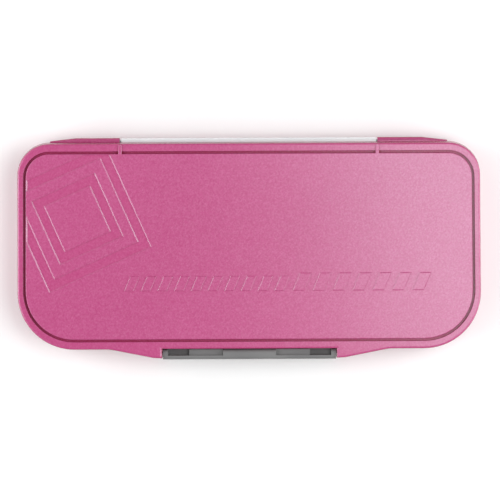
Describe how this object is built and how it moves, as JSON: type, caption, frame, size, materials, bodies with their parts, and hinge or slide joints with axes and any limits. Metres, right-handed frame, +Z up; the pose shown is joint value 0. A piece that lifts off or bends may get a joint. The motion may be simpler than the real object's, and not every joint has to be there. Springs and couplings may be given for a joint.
{
  "type": "folding water-colour palette",
  "caption": "Flat folding paint palette: hinged rounded plastic case with white well and mixing trays, seal ring and front snap latch.",
  "frame": {"origin": "centre of the closed palette's footprint, on the surface that the feet stand on", "axes": "+X to the right along the hinge, +Y from the latch to the hinge, +Z up through the lid"},
  "size_m": [0.29, 0.138, 0.03],
  "materials": {
    "shell_pink": "satin pearl with fine metallic flake",
    "tray_white": "gloss",
    "latch_grey": "fine matt texture",
    "seal_silicone": "satin",
    "pin_steel": "drawn wire",
    "foot_rubber": "matt"
  },
  "bodies": {
    "base": {"base_shell": "shell_pink", "well_tray": "tray_white", "seal_ring": "seal_silicone", "hinge_pin_left": "pin_steel", "hinge_pin_right": "pin_steel", "foot_front_left": "foot_rubber", "foot_front_right": "foot_rubber", "foot_back_left": "foot_rubber", "foot_back_right": "foot_rubber"},
    "lid": {"lid_shell": "shell_pink", "lid_mixing_tray": "tray_white", "latch_pin_left": "pin_steel", "latch_pin_right": "pin_steel"},
    "latch": {"latch": "latch_grey"}
  },
  "joints": [
    {"name": "lid_hinge", "type": "hinge", "parent": "base", "child": "lid", "pos_m": [0, 0.06665, 0.015], "axis": [-1, 0, 0], "range_deg": [0, 180]},
    {"name": "latch_hinge", "type": "hinge", "parent": "lid", "child": "latch", "pos_m": [0, -0.0655, 0.0243], "axis": [-1, 0, 0], "range_deg": [0, 85]}
  ]
}
